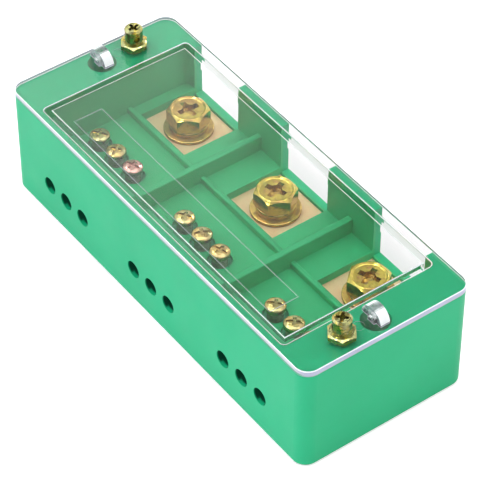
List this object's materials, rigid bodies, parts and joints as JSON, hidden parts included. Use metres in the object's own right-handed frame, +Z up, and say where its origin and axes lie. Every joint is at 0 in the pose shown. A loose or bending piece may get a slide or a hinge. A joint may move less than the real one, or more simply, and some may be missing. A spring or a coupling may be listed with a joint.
{
  "type": "power distribution block",
  "caption": "Long green terminal block under a clear screwed cover, with copper blocks, hex bolts behind and clamped wire holes along the front.",
  "frame": {"origin": "centre of the underside, at the foot of the block", "axes": "+X along the row of phases, +Z up to the cover, -Y out of the wire holes"},
  "size_m": [0.15, 0.06, 0.0466],
  "materials": {
    "green_plastic": "moulded, satin",
    "clear_plastic": "clear, polished",
    "floor_plastic": "moulded, satin",
    "copper": "milled copper",
    "yellow_zinc": "steel, yellow zinc plated",
    "bright_zinc": "steel, bright zinc plated",
    "brass": "turned brass"
  },
  "bodies": {
    "root": {"base_housing": "green_plastic", "clear_cover": "clear_plastic", "bottom_plate": "floor_plastic", "conductor_block_1": "copper", "conductor_block_2": "copper", "conductor_block_3": "copper", "inlet_bolt_1": "yellow_zinc", "spring_washer_1": "yellow_zinc", "flat_washer_1": "yellow_zinc", "inlet_bolt_2": "yellow_zinc", "spring_washer_2": "yellow_zinc", "flat_washer_2": "yellow_zinc", "inlet_bolt_3": "yellow_zinc", "spring_washer_3": "yellow_zinc", "flat_washer_3": "yellow_zinc", "outlet_screw_1": "yellow_zinc", "outlet_screw_2": "yellow_zinc", "outlet_screw_3": "yellow_zinc", "outlet_screw_4": "yellow_zinc", "outlet_screw_5": "yellow_zinc", "outlet_screw_6": "yellow_zinc", "outlet_screw_7": "yellow_zinc", "outlet_screw_8": "yellow_zinc", "outlet_screw_9": "yellow_zinc", "bottom_screw_1": "bright_zinc", "bottom_screw_2": "bright_zinc", "bottom_screw_3": "bright_zinc", "bottom_screw_4": "bright_zinc", "threaded_insert_left": "brass", "sealing_screw_left": "yellow_zinc", "threaded_insert_right": "brass", "sealing_screw_right": "yellow_zinc"}
  },
  "joints": []
}
